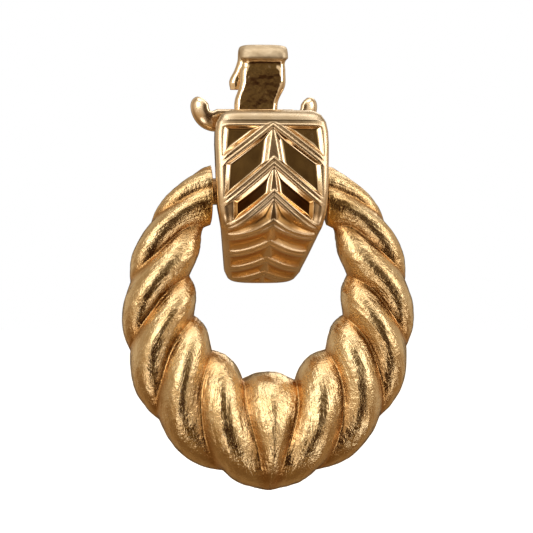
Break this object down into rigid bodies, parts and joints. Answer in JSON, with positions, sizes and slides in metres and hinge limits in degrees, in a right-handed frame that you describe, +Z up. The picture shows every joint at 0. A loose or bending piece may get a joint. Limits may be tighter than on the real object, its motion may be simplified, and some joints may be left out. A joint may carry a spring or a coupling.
{
  "type": "clip-on earring",
  "caption": "Gold-tone drop earring: a rope hoop hangs in a curved front band with a leaf relief, held by a hinged ear clip with crossbar and thumb tab.",
  "frame": {"origin": "middle of the gap between the band's top end and the clip's crossbar, where the ear lobe is held", "axes": "+X to the right seen from the front, -Y to the front, +Z up as the earring hangs"},
  "size_m": [0.0288, 0.0107, 0.0436],
  "materials": {
    "polished_gold": "polished gold plate",
    "textured_gold": "finely engraved, softly polished gold plate",
    "pin_gold": "plain gold plate"
  },
  "bodies": {
    "band": {"band": "polished_gold", "hinge_pin": "pin_gold"},
    "hoop": {"hoop": "textured_gold"},
    "clip": {"clip_lever": "polished_gold"}
  },
  "joints": [
    {"name": "hoop_swing", "type": "hinge", "parent": "band", "child": "hoop", "pos_m": [0, 0.00055, -0.0066], "axis": [-1, 0, 0], "range_deg": [-60, 75]},
    {"name": "clip_open", "type": "hinge", "parent": "band", "child": "clip", "pos_m": [0, 0.00585, -0.01105], "axis": [-1, 0, 0], "range_deg": [0, 70]}
  ]
}
